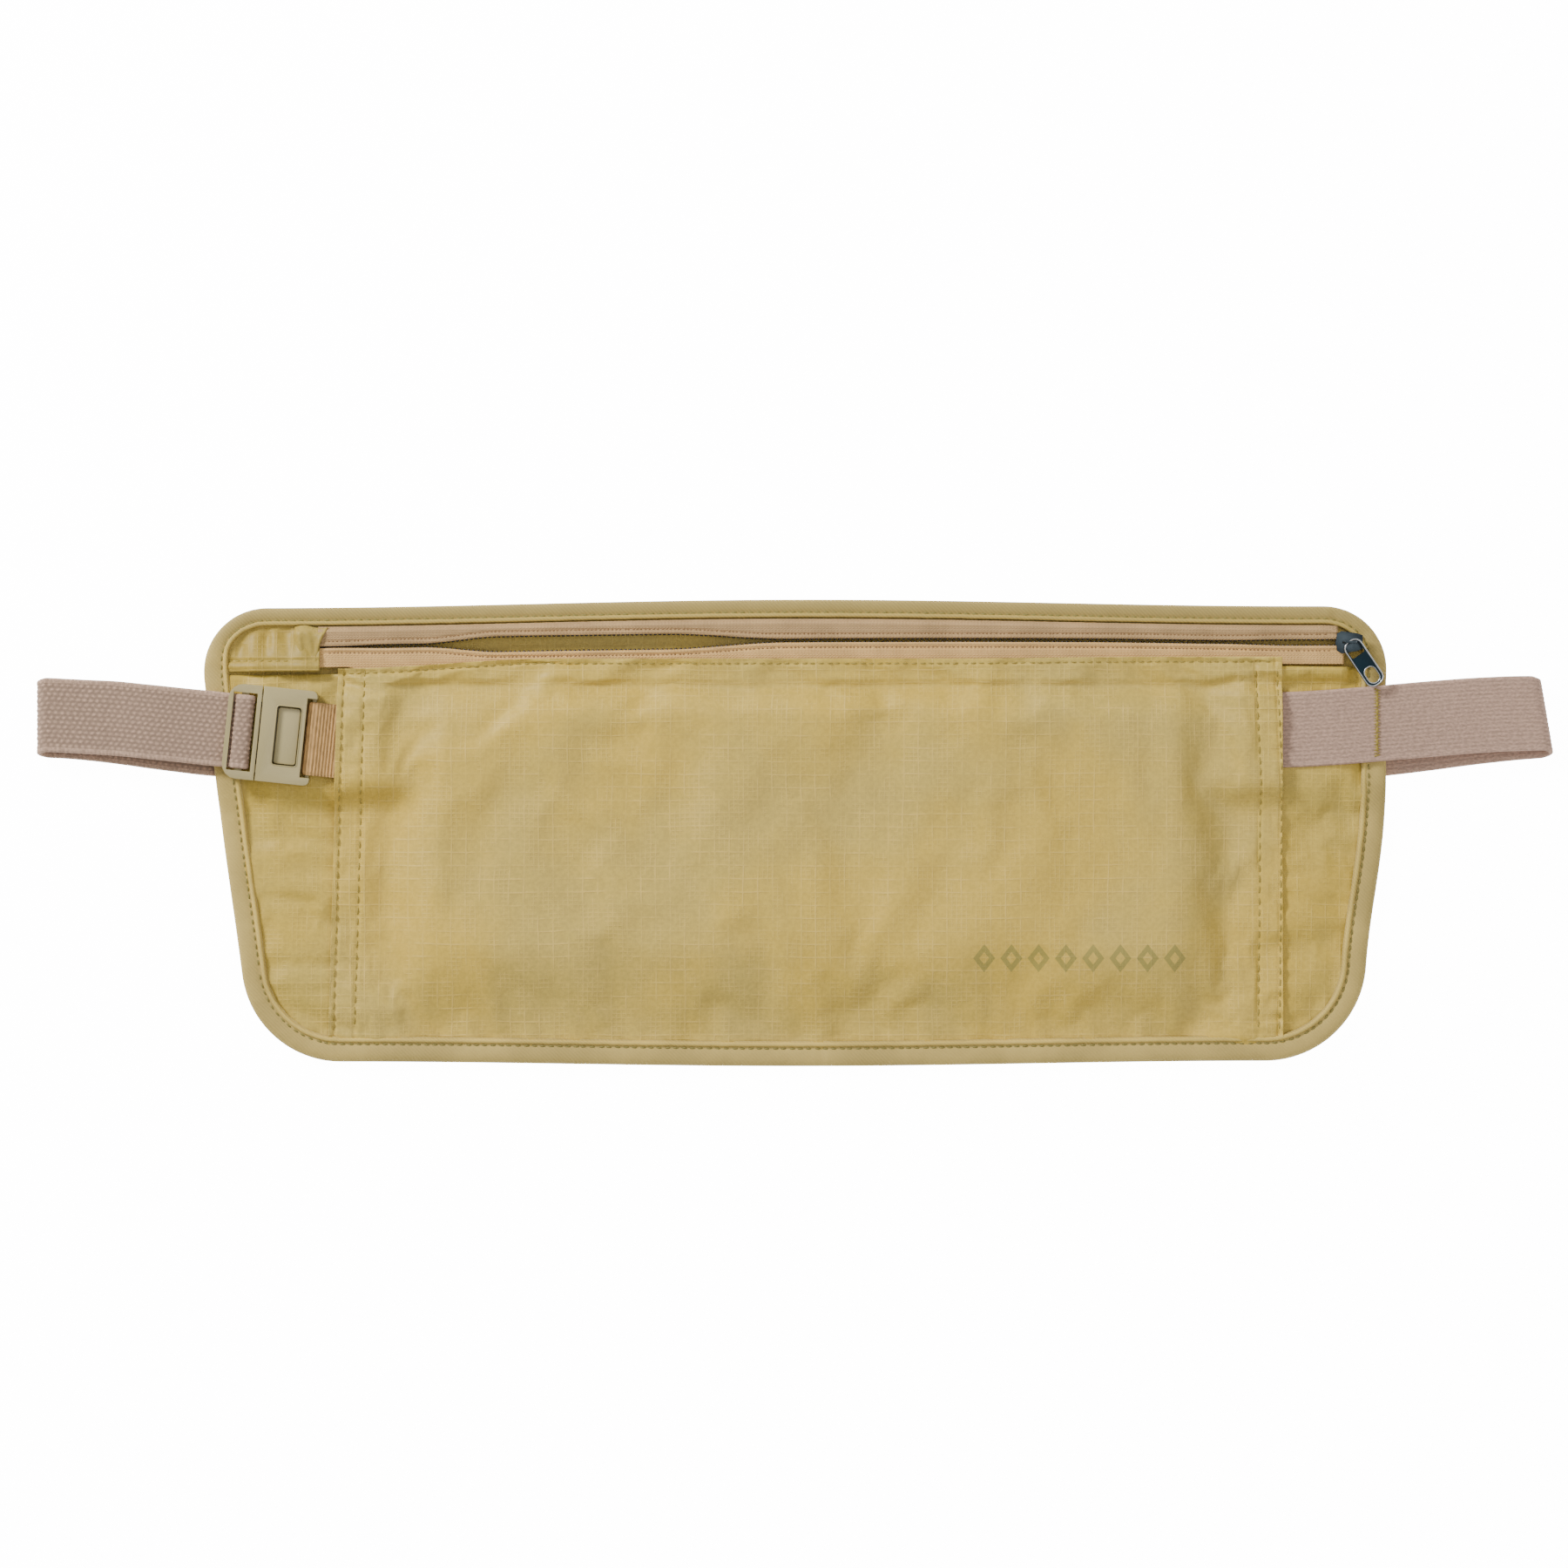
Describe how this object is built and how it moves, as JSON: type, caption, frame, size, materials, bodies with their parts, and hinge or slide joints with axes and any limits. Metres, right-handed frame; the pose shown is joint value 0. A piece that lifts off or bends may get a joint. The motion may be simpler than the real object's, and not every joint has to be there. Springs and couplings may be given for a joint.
{
  "type": "money belt",
  "caption": "Flat ripstop waist pouch with a long top zip, folded edge binding, an elastic waist strap and a side-release buckle.",
  "frame": {"origin": "under the middle of the belt's bounding box, on the surface it lies on", "axes": "+X along the waist strap to the slider's end, +Y up the pouch towards the zip, +Z off the surface through the front face"},
  "size_m": [0.4186, 0.129, 0.0102],
  "materials": {
    "ripstop": "thin khaki ripstop nylon with a slight sheen",
    "binding": "woven khaki binding tape",
    "zip_tape": "peach woven zip tape",
    "zip_coil": "dark moulded coil",
    "elastic": "ribbed pinkish taupe elastic",
    "webbing": "ribbed grosgrain",
    "buckle_plastic": "satin khaki acetal",
    "gunmetal": "polished gunmetal",
    "thread": "khaki sewing thread"
  },
  "bodies": {
    "belt": {"back_panel": "ripstop", "front_panel": "ripstop", "left_wing": "ripstop", "right_wing": "ripstop", "corner_panel": "ripstop", "edge_binding": "binding", "zip_tape_upper": "zip_tape", "zip_tape_lower": "zip_tape", "zip_coil_upper": "zip_coil", "zip_coil_lower": "zip_coil", "zip_end_tab": "ripstop", "buckle_housing": "buckle_plastic", "buckle_webbing": "webbing", "waist_strap": "elastic", "left_seam_outer_thread": "thread", "left_seam_inner_thread": "thread", "right_seam_outer_thread": "thread", "right_seam_inner_thread": "thread", "zip_seam_thread": "thread", "strap_tack_thread": "thread"},
    "slider": {"zip_slider": "gunmetal", "slider_bail": "gunmetal"},
    "puller": {"zip_puller": "gunmetal"},
    "tongue": {"buckle_tongue": "buckle_plastic", "adjuster_strap": "elastic"},
    "button": {"release_button": "buckle_plastic"}
  },
  "joints": [
    {"name": "zip_slide", "type": "slide", "parent": "belt", "child": "slider", "axis": [1, 0.0049, 0], "range_m": [-0.275, 0]},
    {"name": "puller_swing", "type": "hinge", "parent": "slider", "child": "puller", "pos_m": [0.153, 0.0526, 0.0081], "axis": [-0.829, -0.5592, 0], "range_deg": [0, 178]},
    {"name": "buckle_release", "type": "slide", "parent": "belt", "child": "tongue", "axis": [-0.9945, 0.1045, 0], "range_m": [0, 0.018]},
    {"name": "button_press", "type": "slide", "parent": "tongue", "child": "button", "axis": [0, 0, -1], "range_m": [0, 0.0008], "stiffness_N_per_m": 1500}
  ]
}
